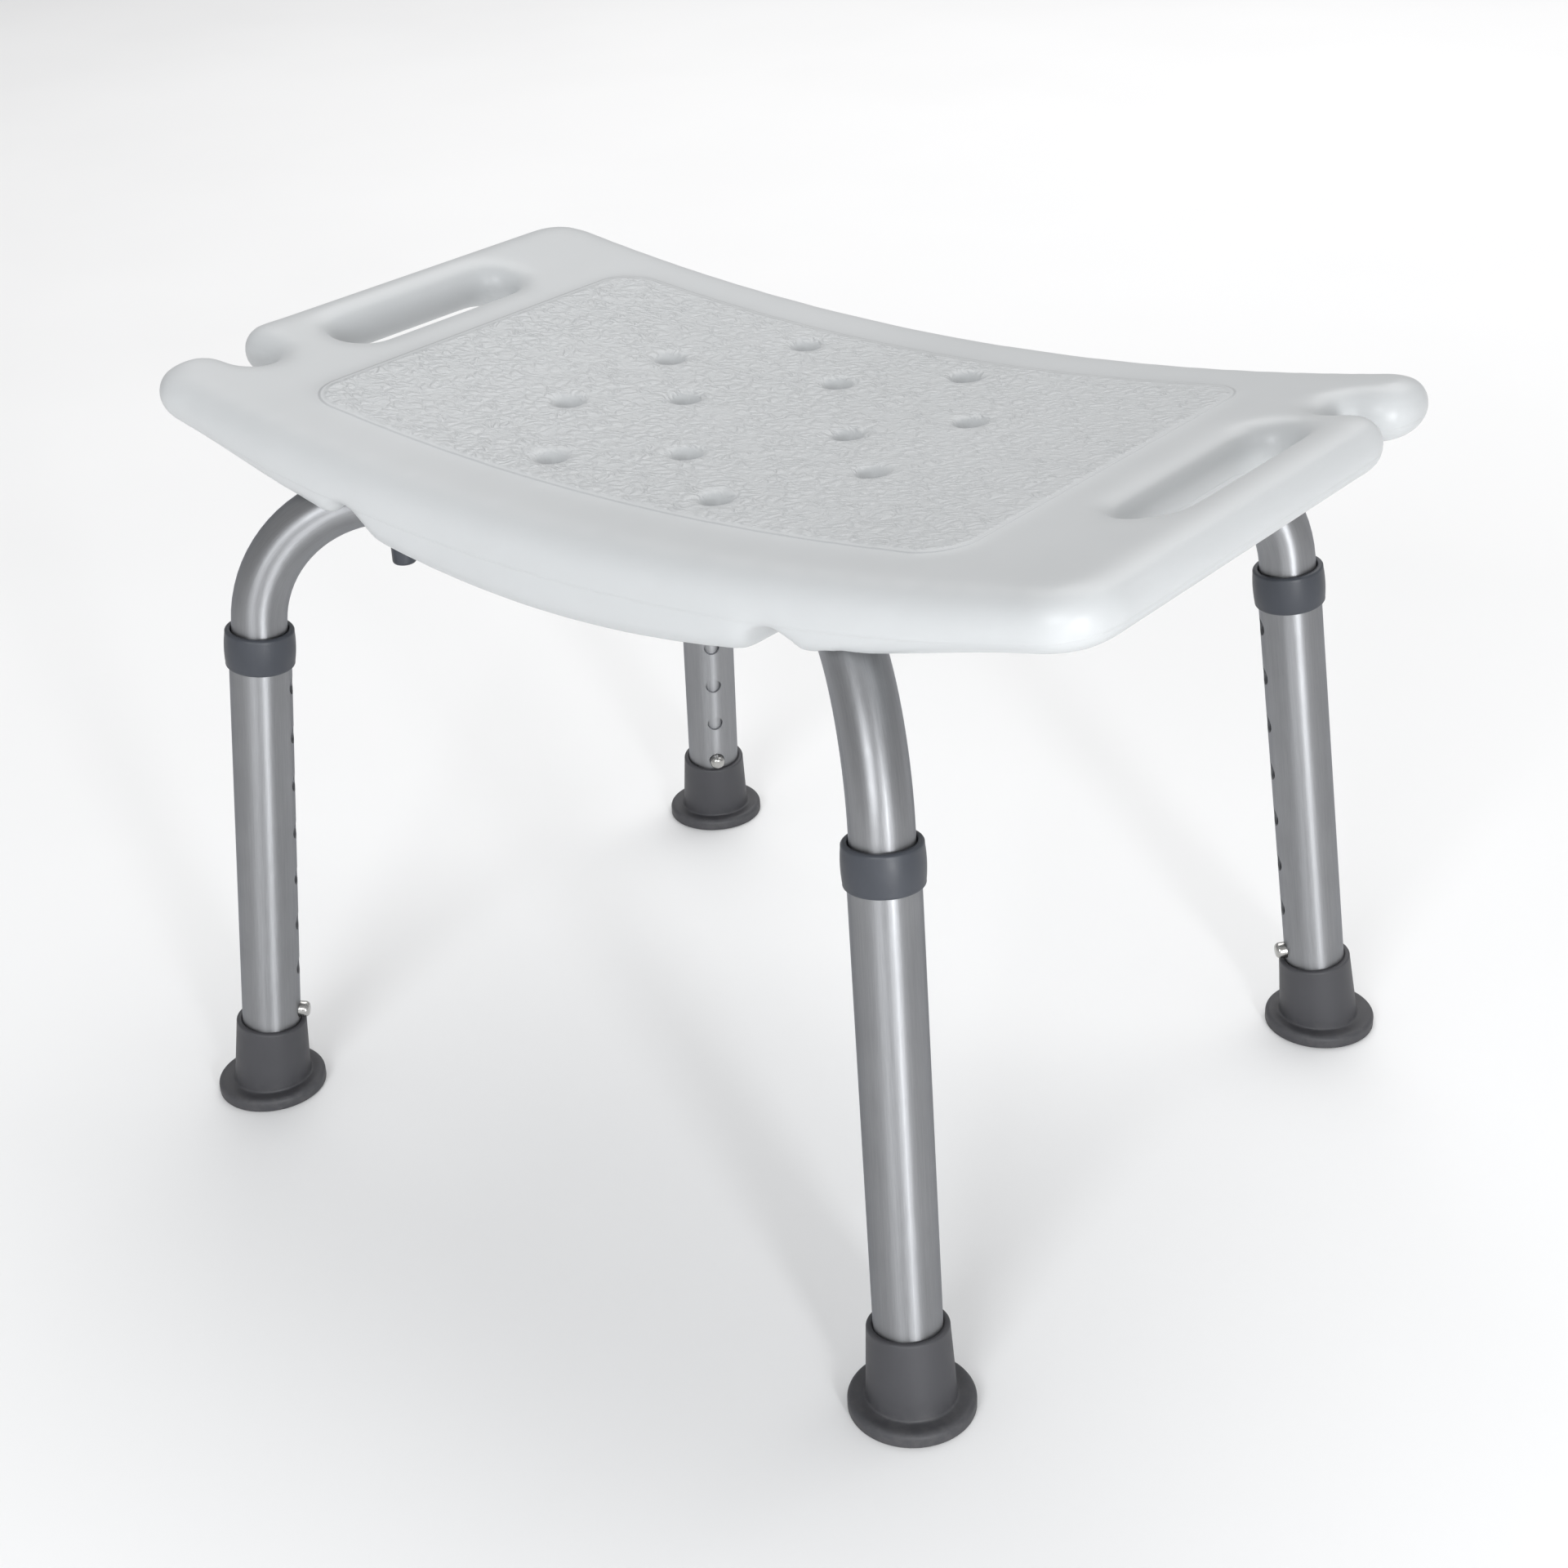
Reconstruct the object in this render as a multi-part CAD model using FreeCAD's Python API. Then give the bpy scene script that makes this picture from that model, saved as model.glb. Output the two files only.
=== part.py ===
"""Height-adjustable shower stool: a hollow curved seat on two crossed, bent tubes and four sliding legs.

Units are millimetres.  The stool is drawn at its lowest setting.  The origin is on the floor under
the middle of the stool, +Z is up, X runs along the seat's long side and +Y points to the back.
"""
import FreeCAD, Part
import math
import os
from FreeCAD import Vector

# --- seat board -------------------------------------------------------------------------------
SEAT_LENGTH = 515.0          # along X
SEAT_DEPTH = 297.0           # along Y, in the middle of the long side
SEAT_SIDE_BOW = 4.5          # how far each long side bows out in its middle
SEAT_ROOF = 11.7             # plastic and hollow between a frame tube and the sitting surface
SEAT_ARC_RADIUS = 1250.0     # the sitting surface is a shallow trough along X
SEAT_THICK_MIDDLE = 42.0
SEAT_THICK_END = 25.0
SEAT_TAPER_MARGIN = 32.5     # from a short side to where the end thickness is reached
SEAT_CORNER_RADIUS = 24.0
SEAT_EDGE_RADIUS = 12.0      # rounding of the outer rim, top and bottom
SEAT_EDGE_LIMIT = 0.48       # share of the end thickness that the rounding may take
SEAT_WALL = 2.8              # blow-moulded wall
SEAT_RIM_SOLID = 8.0         # plan distance from an edge to the inner hollow
LEAST_POCKET = 4000.0        # smaller hollows (mm3) fill up while the seat is blown

PANEL_END_MARGIN = 79.5      # from a short side to the slightly raised, textured sitting panel
PANEL_SIDE_MARGIN = 37.5     # from a long side to the panel
PANEL_RAISE = 1.0
PANEL_CORNER_RADIUS = 20.0

SLOT_MARGIN = 38.5           # from a short side to the middle line of its hand slot
SLOT_Y = 7.0                 # both slots sit a little to the back
SLOT_WIDTH = 26.0
SLOT_LENGTH = 114.0
SLOT_EDGE_RADIUS = 9.0

HOOK_MARGIN = 50.0           # from a long side's end to the middle of its hook notch
HOOK_WIDTH = 22.0
HOOK_DEPTH = 35.5            # from the short side to the notch's end
FINGER_SET_BACK = 8.0        # from the short side to the tip of the finger beside a notch
FINGER_ROUND = 17.0
BAR_ROUND = 12.0

DRAIN_MOUTH_RADIUS = 8.0
DRAIN_HOLE_RADIUS = 3.5
DRAIN_FUNNEL_DEPTH = 8.0
DRAIN_QUARTER = [(0.0, 0.477), (0.258, 0.0), (0.258, 0.793), (0.478, 0.315)]  # shares of the panel

CHANNEL_X = 118.0            # half-round channels under the seat, front to back
CHANNEL_RADIUS = 13.0
CHANNEL_RISE = 12.0          # channel's axis above the lowest point of the underside

# --- tubes and legs ---------------------------------------------------------------------------
LEG_AZIMUTH = 41.2           # plan angle of each leg from the X axis, degrees
FOOT_RADIUS = 264.4          # from the middle of the stool to the middle of a foot
LEG_LEAN = 6.75              # lean of each leg towards the middle, degrees
FRAME_TUBE_RADIUS = 12.7
FRAME_TUBE_WALL = 1.3
SLIDE_GAP = 0.3              # frame tube to the bore of the leg tube it slides in
LEG_TUBE_WALL = 1.3
BEND_START = 254.0           # along the leg, from the floor
BEND_RADIUS = 65.0
FRAME_TUBE_END = 28.0        # lower end of the frame tube, along the leg
GROOVE_CLEARANCE = 0.4       # between a frame tube and its groove in the seat

CRIMP_HALF = 15.0            # flattened length of each tube at the crossing, one side
CRIMP_RAMP = 16.0
CRIMP_GAP = 0.6              # between the two crimped tubes

LEG_TUBE_END = 10.0          # lower end of the leg tube, inside the foot
HOLE_FIRST = 44.8            # lowest height hole, along the leg
HOLE_PITCH = 25.4
HOLE_GAP = 0.3               # round a snap button
HOLE_EDGE = 1.0              # least metal between the highest hole and the collar

COLLAR_LENGTH = 18.2
COLLAR_LIP = 4.0             # height of the lip above the leg tube
COLLAR_BELOW_BEND = 3.0      # collar's top below the start of the bend
COLLAR_WALL = 2.0
COLLAR_ROUND_LIMIT = 0.95    # share of the wall that the rounded rims may take
COLLAR_GAP = 0.5             # lip to frame tube
COLLAR_FIT = 0.05

FOOT_FLANGE_RADIUS = 26.6
FOOT_FLANGE_THICK = 6.4
FOOT_FLANGE_ROUND = 2.2
FOOT_WALL_BASE = 4.6         # sleeve's wall at the floor
FOOT_WALL_TOP = 2.9          # sleeve's wall at its rim
FOOT_SLEEVE_END = 39.5       # along the leg
FOOT_LIP_ROUND = 1.2
FOOT_FIT = 0.05
TREAD_RADII = [8.0, 15.0, 22.0]
TREAD_WIDTH = 1.8
TREAD_DEPTH = 1.2
FOOT_DISC_THICK = 1.5        # steel disc between the leg tube and the rubber

# --- snap buttons -----------------------------------------------------------------------------
BUTTON_RADIUS = 4.0
BUTTON_PROUD = 4.9           # tip, outside the leg tube
BUTTON_DOME = 2.4
BUTTON_BASE_STEP = 1.2       # how far the base is wider than the button
BUTTON_BASE_THICK = 1.2
BUTTON_BASE_GAP = 0.3        # base to the frame tube's bore
SPRING_WIDTH = 7.0
SPRING_THICK = 0.7
SPRING_LENGTH = 34.0
SPRING_GAP = 0.1

# --- fasteners --------------------------------------------------------------------------------
STUD_AT = 165.0              # seat studs, along each tube from the middle
STUD_RADIUS = 3.0
STUD_HEAD_RADIUS = 6.5
STUD_HEAD_THICK = 3.0
STUD_DEPTH = 9.0             # head's underside above the tube
BOSS_RADIUS = 10.5
BOLT_CLEARANCE = 0.3
SADDLE_RADIUS = 8.0
SADDLE_THICK = 3.0           # under the lowest line of the tube
SADDLE_WRAP = 4.0            # how far the saddle rises around the tube
SADDLE_FIT = 0.1
CAP_RADIUS = 5.5
CAP_LENGTH = 17.0
CAP_FLANGE_RADIUS = 7.5
CAP_FLANGE_THICK = 2.0
CAP_ROUND = 1.4
CENTRE_HEAD_RADIUS = 6.0
CENTRE_HEAD_THICK = 2.6
CENTRE_SADDLE_THICK = 1.8
NUT_ACROSS_FLATS = 10.0
NUT_THICK = 6.0
POCKET_CLEARANCE = 1.0

# --- worked out from the values above ---------------------------------------------------------
HALF_LENGTH = SEAT_LENGTH / 2
SEAT_DEPTH_END = SEAT_DEPTH - 2 * SEAT_SIDE_BOW
SEAT_TAPER_HALF = HALF_LENGTH - SEAT_TAPER_MARGIN
SEAT_RIM_RADIUS = min(SEAT_EDGE_RADIUS, SEAT_EDGE_LIMIT * SEAT_THICK_END)
PANEL_LENGTH = SEAT_LENGTH - 2 * PANEL_END_MARGIN
PANEL_DEPTH = SEAT_DEPTH - 2 * PANEL_SIDE_MARGIN
SLOT_X = HALF_LENGTH - SLOT_MARGIN
HOOK_Y = SEAT_DEPTH_END / 2 - HOOK_MARGIN
HOOK_END_X = HALF_LENGTH - HOOK_DEPTH
FINGER_TIP_X = HALF_LENGTH - FINGER_SET_BACK
LEG_TUBE_BORE = FRAME_TUBE_RADIUS + SLIDE_GAP
LEG_TUBE_RADIUS = LEG_TUBE_BORE + LEG_TUBE_WALL
HOLE_RADIUS = BUTTON_RADIUS + HOLE_GAP
COLLAR_TOP = BEND_START - COLLAR_BELOW_BEND
COLLAR_BOTTOM = COLLAR_TOP - COLLAR_LENGTH
COLLAR_RADIUS = LEG_TUBE_RADIUS + COLLAR_WALL
COLLAR_ROUND = COLLAR_ROUND_LIMIT * COLLAR_WALL
COLLAR_LIP_RADIUS = FRAME_TUBE_RADIUS + COLLAR_GAP
LEG_TUBE_TOP = COLLAR_TOP - COLLAR_LIP
HOLE_COUNT = int((COLLAR_BOTTOM - HOLE_EDGE - HOLE_RADIUS - HOLE_FIRST) / HOLE_PITCH) + 1
FOOT_SLEEVE_BASE = LEG_TUBE_RADIUS + FOOT_WALL_BASE
FOOT_SLEEVE_TOP = LEG_TUBE_RADIUS + FOOT_WALL_TOP
BUTTON_REACH = LEG_TUBE_RADIUS + BUTTON_PROUD
BUTTON_BASE_RADIUS = BUTTON_RADIUS + BUTTON_BASE_STEP
LEAN = math.radians(LEG_LEAN)
UP_LEG = Vector(-math.sin(LEAN), 0, math.cos(LEAN))       # up along a leg, leg in the XZ plane
TO_MIDDLE = Vector(-math.cos(LEAN), 0, -math.sin(LEAN))   # square to the leg, towards the middle
FOOT = Vector(FOOT_RADIUS, 0, 0)
RUN_Z = BEND_START * math.cos(LEAN) + BEND_RADIUS * (1 - math.sin(LEAN))
SEAT_TOP_Z = RUN_Z + FRAME_TUBE_RADIUS + SEAT_ROOF
CHANNEL_AXIS_Z = SEAT_TOP_Z - SEAT_THICK_MIDDLE + CHANNEL_RISE
LEGS = {
    "front_left": 180 + LEG_AZIMUTH,
    "front_right": -LEG_AZIMUTH,
    "back_right": LEG_AZIMUTH,
    "back_left": 180 - LEG_AZIMUTH,
}
Z_AXIS = Vector(0, 0, 1)
Y_AXIS = Vector(0, 1, 0)
ORIGIN = Vector(0, 0, 0)
FAR = SEAT_TOP_Z + SEAT_LENGTH / 2  # longer than anything that is cut


def on_leg(distance):
    """Point on the leg's axis, at a distance up the leg from the floor."""
    return FOOT + UP_LEG * distance


def turned(shape, degrees):
    """Copy of a shape turned about the stool's vertical axis."""
    copy = shape.copy()
    copy.rotate(ORIGIN, Z_AXIS, degrees)
    return copy


def rod(radius, start, end):
    """Round rod between two points."""
    return Part.makeCylinder(radius, (end - start).Length, start, end - start)


def prism_y(points, half_depth):
    """Prism along Y of a polygon given by (x, z) points."""
    corners = [Vector(x, -half_depth, z) for x, z in points]
    face = Part.Face(Part.makePolygon(corners + corners[:1]))
    return face.extrude(Vector(0, 2 * half_depth, 0))


def edges_where(shape, test):
    """Edges of a shape whose middle point passes a test."""
    found = []
    for edge in shape.Edges:
        middle = edge.valueAt((edge.FirstParameter + edge.LastParameter) / 2)
        if test(edge, middle):
            found.append(edge)
    return found


def is_upright(edge):
    """True for a straight vertical edge."""
    start, end = edge.Vertexes[0].Point, edge.Vertexes[-1].Point
    return abs(start.x - end.x) < 1e-6 and abs(start.y - end.y) < 1e-6


# --- seat -------------------------------------------------------------------------------------
def seat_top(x):
    """Height of the sitting surface: a circular arc along X."""
    return SEAT_TOP_Z + SEAT_ARC_RADIUS - math.sqrt(SEAT_ARC_RADIUS ** 2 - x * x)


def seat_thickness(x):
    """Board thickness: full in the middle, easing down to the thinner ends."""
    share = max(0.0, 1 - (x / SEAT_TAPER_HALF) ** 2)
    return SEAT_THICK_END + (SEAT_THICK_MIDDLE - SEAT_THICK_END) * share ** 1.5


def seat_slab(top_offset, bottom_offset):
    """Everything between the sitting surface and the underside, moved by the two offsets."""
    reach = SEAT_LENGTH / 2 + 20
    left = Vector(-reach, -FAR / 2, seat_top(reach) + top_offset)
    middle = Vector(0, -FAR / 2, seat_top(0) + top_offset)
    right = Vector(reach, -FAR / 2, left.z)
    top = Part.Arc(left, middle, right).toShape()
    steps = 18
    low = []
    for i in range(steps + 1):
        x = reach * (1 - 2 * i / steps)
        low.append(Vector(x, -FAR / 2, seat_top(x) - seat_thickness(x) + bottom_offset))
    spline = Part.BSplineCurve()
    spline.interpolate(low)
    sides = [Part.makeLine(right, low[0]), Part.makeLine(low[-1], left)]
    face = Part.Face(Part.Wire([top, sides[0], spline.toShape(), sides[1]]))
    return face.extrude(Vector(0, FAR, 0))


def seat_plan():
    """Plan outline as an upright prism, with its upright edges rounded."""
    half_x, half_end = SEAT_LENGTH / 2, SEAT_DEPTH_END / 2
    near, far = HOOK_Y - HOOK_WIDTH / 2, HOOK_Y + HOOK_WIDTH / 2
    side = [
        (Vector(half_x, -half_end, 0), SEAT_CORNER_RADIUS),
        (Vector(half_x, near, 0), BAR_ROUND),
        (Vector(HOOK_END_X, near, 0), HOOK_WIDTH / 2 - 0.1),
        (Vector(HOOK_END_X, far, 0), HOOK_WIDTH / 2 - 0.1),
        (Vector(FINGER_TIP_X, far, 0), FINGER_ROUND),
        (Vector(FINGER_TIP_X, half_end, 0), FINGER_ROUND),
    ]
    corners = side + [(Vector(-p.x, -p.y, 0), r) for p, r in side]
    points = [p for p, _ in corners]
    edges = []
    for i, start in enumerate(points):
        end = points[(i + 1) % len(points)]
        if start.x * end.x < 0:
            bulge = Vector(0, math.copysign(SEAT_DEPTH / 2, start.y), 0)
            edges.append(Part.Arc(start, bulge, end).toShape())
        else:
            edges.append(Part.makeLine(start, end))
    prism = Part.Face(Part.Wire(edges)).extrude(Vector(0, 0, FAR))
    for point, radius in corners:
        def here(edge, middle, point=point):
            return is_upright(edge) and abs(middle.x - point.x) < 0.01 and abs(middle.y - point.y) < 0.01
        prism = prism.makeFillet(radius, edges_where(prism, here))
    prism.translate(Vector(0, 0, SEAT_TOP_Z - FAR / 2))
    return prism


def stadium(length, width, centre_x, extra=0.0):
    """Upright prism of a slot with round ends, running along Y, grown by extra."""
    radius = width / 2 + extra
    half = length / 2 - width / 2
    low = SEAT_TOP_Z - FAR / 2
    block = Part.makeBox(2 * radius, 2 * half, FAR, Vector(centre_x - radius, SLOT_Y - half, low))
    ends = [Part.makeCylinder(radius, FAR, Vector(centre_x, SLOT_Y + y, low)) for y in (-half, half)]
    return block.fuse(ends).removeSplitter()


def raised_panel():
    """The textured sitting panel, rooted a little way into the board."""
    low = SEAT_TOP_Z - FAR / 2
    block = Part.makeBox(PANEL_LENGTH, PANEL_DEPTH, FAR, Vector(-PANEL_LENGTH / 2, -PANEL_DEPTH / 2, low))
    block = block.makeFillet(PANEL_CORNER_RADIUS, [e for e in block.Edges if is_upright(e)])
    return block.common(seat_slab(PANEL_RAISE, SEAT_THICK_END - SEAT_WALL / 2))


def drain_points():
    """Plan positions of the drains, mirrored from one quarter of the seat."""
    found = set()
    for x, y in DRAIN_QUARTER:
        for sign_x in (1, -1):
            for sign_y in (1, -1):
                found.add((x * sign_x * PANEL_LENGTH / 2 + 0.0, y * sign_y * PANEL_DEPTH / 2 + 0.0))
    return sorted(found)


def drain(x, y):
    """Funnel and hole of one drain."""
    mouth_z = seat_top(x) + PANEL_RAISE
    wide = (DRAIN_MOUTH_RADIUS - DRAIN_HOLE_RADIUS) / DRAIN_FUNNEL_DEPTH
    over = 2.0
    bottom = Vector(x, y, mouth_z - DRAIN_FUNNEL_DEPTH)
    funnel = Part.makeCone(DRAIN_HOLE_RADIUS, DRAIN_MOUTH_RADIUS + wide * over,
                           DRAIN_FUNNEL_DEPTH + over, bottom)
    hole = Part.makeCylinder(DRAIN_HOLE_RADIUS, FAR / 4, Vector(x, y, bottom.z - FAR / 4 + 1))
    return funnel.fuse(hole)


def tube_groove(clearance):
    """Space of both frame tubes under the seat, open downwards, grown by a clearance."""
    radius = FRAME_TUBE_RADIUS + clearance
    reach = BEND_START_X
    low = RUN_Z - 2 * SEAT_THICK_MIDDLE
    left, right = Vector(-reach, -radius, RUN_Z), Vector(-reach, radius, RUN_Z)
    top = Part.Arc(left, Vector(-reach, 0, RUN_Z + radius), right).toShape()
    corners = [right, Vector(-reach, radius, low), Vector(-reach, -radius, low), left]
    outline = Part.Wire([top] + [Part.makeLine(a, b) for a, b in zip(corners, corners[1:])])
    run = Part.Face(outline).extrude(Vector(2 * reach, 0, 0))
    whole = run.fuse([bend(radius), turned(bend(radius), 180)])
    return [turned(whole, azimuth) for azimuth in (LEG_AZIMUTH, -LEG_AZIMUTH)]


def channels(extra=0.0):
    """The half-round channels that run front to back under the seat."""
    tools = []
    for x in (-CHANNEL_X, CHANNEL_X):
        start = Vector(x, -SEAT_DEPTH, CHANNEL_AXIS_Z)
        tools.append(rod(CHANNEL_RADIUS + extra, start, start + Vector(0, 2 * SEAT_DEPTH, 0)))
    return tools


def centre_pocket(extra=0.0):
    """Room above the crossing for the saddle and the bolt's head."""
    height = CENTRE_SADDLE_THICK + CENTRE_HEAD_THICK + POCKET_CLEARANCE + extra
    base = RUN_Z - FRAME_TUBE_RADIUS
    return Part.makeCylinder(SADDLE_RADIUS + POCKET_CLEARANCE + extra,
                             2 * FRAME_TUBE_RADIUS + height, Vector(0, 0, base))


def seat_hollow():
    """The closed hollow inside the blow-moulded board."""
    low = SEAT_TOP_Z - FAR / 2
    half_x, half_y = SEAT_LENGTH / 2 - SEAT_RIM_SOLID, SEAT_DEPTH_END / 2 - SEAT_RIM_SOLID
    plan = Part.makeBox(2 * half_x, 2 * half_y, FAR, Vector(-half_x, -half_y, low))
    plan = plan.makeFillet(SEAT_CORNER_RADIUS, [e for e in plan.Edges if is_upright(e)])
    hollow = plan.common(seat_slab(-SEAT_WALL, SEAT_WALL))
    keep = tube_groove(GROOVE_CLEARANCE + SEAT_WALL) + channels(SEAT_WALL)
    keep.append(centre_pocket(SEAT_WALL))
    for side in (1, -1):
        keep.append(stadium(SLOT_LENGTH, SLOT_WIDTH, side * SLOT_X, SEAT_RIM_SOLID))
        corner_x = HOOK_END_X - SEAT_RIM_SOLID
        block = Part.makeBox(HALF_LENGTH, SEAT_DEPTH, FAR,
                             Vector(corner_x, HOOK_Y - HOOK_WIDTH / 2 - SEAT_RIM_SOLID, low))
        keep.append(turned(block, 0 if side > 0 else 180))
        for azimuth in (LEG_AZIMUTH, -LEG_AZIMUTH):
            boss = Part.makeCylinder(BOSS_RADIUS, FAR, Vector(side * STUD_AT, 0, low))
            keep.append(turned(boss, azimuth))
    for x, y in drain_points():
        keep.append(Part.makeCylinder(DRAIN_MOUTH_RADIUS + SEAT_WALL, FAR, Vector(x, y, low)))
    pockets = hollow.cut(keep).Solids
    return [pocket for pocket in pockets if pocket.Volume > LEAST_POCKET]


def seat_board():
    """The whole seat: rounded slab, panel, slots, drains, grooves and the sealed hollow."""
    board = seat_plan().common(seat_slab(0, 0))
    rim = edges_where(board, lambda edge, middle: not is_upright(edge))
    board = board.makeFillet(SEAT_RIM_RADIUS, rim)
    for side in (1, -1):
        board = board.cut(stadium(SLOT_LENGTH, SLOT_WIDTH, side * SLOT_X))

    def is_slot_lip(edge, middle):
        close = abs(abs(middle.x) - SLOT_X) < SLOT_WIDTH / 2 + 0.1
        return close and abs(middle.y - SLOT_Y) < SLOT_LENGTH / 2 + 0.1 and not is_upright(edge)

    board = board.makeFillet(SLOT_EDGE_RADIUS, edges_where(board, is_slot_lip))
    board = board.fuse(raised_panel())
    studs = [grown for grown in seat_studs(0.02)]
    tools = [drain(x, y) for x, y in drain_points()]
    tools += tube_groove(GROOVE_CLEARANCE) + channels() + [centre_pocket()] + studs
    return board.cut(tools).cut(seat_hollow())


# --- frame tubes ------------------------------------------------------------------------------
BEND_CENTRE = on_leg(BEND_START) + TO_MIDDLE * BEND_RADIUS
BEND_START_X = BEND_CENTRE.x  # where the straight run ends and the bend begins


def bend(radius):
    """The bend above one leg, as a bent rod of the given radius, with the leg in the XZ plane."""
    start = on_leg(BEND_START)
    disc = Part.Face(Part.Wire(Part.makeCircle(radius, start, UP_LEG)))
    return disc.revolve(BEND_CENTRE, Vector(0, -1, 0), 90 - LEG_LEAN)


def bent_rod(radius, low_end):
    """A whole cross tube as a solid rod: leg, bend, run, bend, leg."""
    half = [rod(radius, on_leg(low_end), on_leg(BEND_START)), bend(radius)]
    run = rod(radius, Vector(-BEND_START_X, 0, RUN_Z), Vector(BEND_START_X, 0, RUN_Z))
    return run.fuse(half + [turned(piece, 180) for piece in half]).removeSplitter()


def crimp(grow, side):
    """Wedge that flattens a tube at the crossing; side is +1 to keep the upper half."""
    depth = FRAME_TUBE_RADIUS + 2
    slope = depth / CRIMP_RAMP
    lift = grow / math.cos(math.atan(slope))
    flat = CRIMP_GAP / 2 + grow
    half = CRIMP_HALF + (lift - grow) / slope
    foot = half + (depth + flat) / slope
    points = [(-foot, RUN_Z - side * depth), (-half, RUN_Z + side * flat),
              (half, RUN_Z + side * flat), (foot, RUN_Z - side * depth)]
    return prism_y(points, 2 * FRAME_TUBE_RADIUS)


def cross_tube(side):
    """One bent tube with its crimp, stud holes and button holes, in the XZ plane."""
    outer = bent_rod(FRAME_TUBE_RADIUS, FRAME_TUBE_END).cut(crimp(0, side))
    bore = bent_rod(FRAME_TUBE_RADIUS - FRAME_TUBE_WALL, FRAME_TUBE_END - 1)
    bore = bore.cut(crimp(FRAME_TUBE_WALL, side))
    holes = []
    for x in (-STUD_AT, 0, STUD_AT):
        base = Vector(x, 0, RUN_Z - 2 * FRAME_TUBE_RADIUS)
        holes.append(Part.makeCylinder(STUD_RADIUS + BOLT_CLEARANCE, 4 * FRAME_TUBE_RADIUS, base))
    button_hole = rod(HOLE_RADIUS, on_leg(HOLE_FIRST), on_leg(HOLE_FIRST) + TO_MIDDLE * 2 * FRAME_TUBE_RADIUS)
    holes += [button_hole, turned(button_hole, 180)]
    return outer.cut([bore] + holes)


# --- fasteners --------------------------------------------------------------------------------
def stud_places():
    """Turns that carry a part from the +X stud to each of the four studs."""
    return [LEG_AZIMUTH, -LEG_AZIMUTH, 180 + LEG_AZIMUTH, 180 - LEG_AZIMUTH]


SADDLE_BASE_Z = RUN_Z - FRAME_TUBE_RADIUS - SADDLE_THICK
CAP_END_Z = SADDLE_BASE_Z - CAP_LENGTH


def seat_studs(grow=0.0):
    """Studs moulded into the seat, one through each end of each cross tube."""
    head_z = RUN_Z + FRAME_TUBE_RADIUS + STUD_DEPTH
    low = CAP_END_Z + 4 - grow
    studs = []
    for degrees in stud_places():
        shank = Part.makeCylinder(STUD_RADIUS + grow, head_z - low, Vector(STUD_AT, 0, low))
        head = Part.makeCylinder(STUD_HEAD_RADIUS + grow, STUD_HEAD_THICK + 2 * grow,
                                 Vector(STUD_AT, 0, head_z - grow))
        studs.append(turned(shank.fuse(head).removeSplitter(), degrees))
    return studs


def saddle(x, below, thick):
    """Curved washer that seats on a tube running along X, under it or on top of it."""
    hole = Part.makeCylinder(STUD_RADIUS + BOLT_CLEARANCE, 4 * FRAME_TUBE_RADIUS,
                             Vector(x, 0, RUN_Z - 2 * FRAME_TUBE_RADIUS))
    tube = rod(FRAME_TUBE_RADIUS + SADDLE_FIT, Vector(x - 20, 0, RUN_Z), Vector(x + 20, 0, RUN_Z))
    height = thick + SADDLE_WRAP
    low = RUN_Z - FRAME_TUBE_RADIUS - thick if below else RUN_Z + FRAME_TUBE_RADIUS - SADDLE_WRAP
    return Part.makeCylinder(SADDLE_RADIUS, height, Vector(x, 0, low)).cut([tube, hole])


def cap_nut():
    """Closed plastic nut on a stud: flanged barrel with a rounded end and a blind hole."""
    barrel = Part.makeCylinder(CAP_RADIUS, CAP_LENGTH, Vector(STUD_AT, 0, CAP_END_Z))
    low_rim = edges_where(barrel, lambda edge, middle: abs(middle.z - CAP_END_Z) < 1e-6)
    barrel = barrel.makeFillet(CAP_ROUND, low_rim)
    flange = Part.makeCylinder(CAP_FLANGE_RADIUS, CAP_FLANGE_THICK,
                               Vector(STUD_AT, 0, SADDLE_BASE_Z - CAP_FLANGE_THICK))
    hole = Part.makeCylinder(STUD_RADIUS, CAP_LENGTH, Vector(STUD_AT, 0, CAP_END_Z + 4))
    return barrel.fuse(flange).cut(hole).removeSplitter()


def centre_bolt():
    """Bolt through the crossing, head on top."""
    head_z = RUN_Z + FRAME_TUBE_RADIUS + CENTRE_SADDLE_THICK
    low = SADDLE_BASE_Z + SADDLE_THICK - CENTRE_SADDLE_THICK - NUT_THICK - 1
    shank = Part.makeCylinder(STUD_RADIUS, head_z - low, Vector(0, 0, low))
    head = Part.makeCylinder(CENTRE_HEAD_RADIUS, CENTRE_HEAD_THICK, Vector(0, 0, head_z))
    rim = edges_where(head, lambda edge, middle: abs(middle.z - head_z - CENTRE_HEAD_THICK) < 1e-6)
    return shank.fuse(head.makeFillet(1.0, rim)).removeSplitter()


def centre_nut():
    """Hexagon lock nut under the crossing."""
    top_z = RUN_Z - FRAME_TUBE_RADIUS - CENTRE_SADDLE_THICK
    corner = NUT_ACROSS_FLATS / math.sqrt(3)
    points = [Vector(corner * math.cos(math.radians(60 * i)), corner * math.sin(math.radians(60 * i)),
                     top_z - NUT_THICK) for i in range(6)]
    block = Part.Face(Part.makePolygon(points + points[:1])).extrude(Vector(0, 0, NUT_THICK))
    hole = Part.makeCylinder(STUD_RADIUS, 2 * NUT_THICK, Vector(0, 0, top_z - 1.5 * NUT_THICK))
    return block.cut(hole)


def centre_saddles():
    """The saddle under the bolt's head and the saddle above the nut, each along its own tube."""
    above = turned(saddle(0, False, CENTRE_SADDLE_THICK), LEG_AZIMUTH)
    below = turned(saddle(0, True, CENTRE_SADDLE_THICK), -LEG_AZIMUTH)
    return [above, below]


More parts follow.
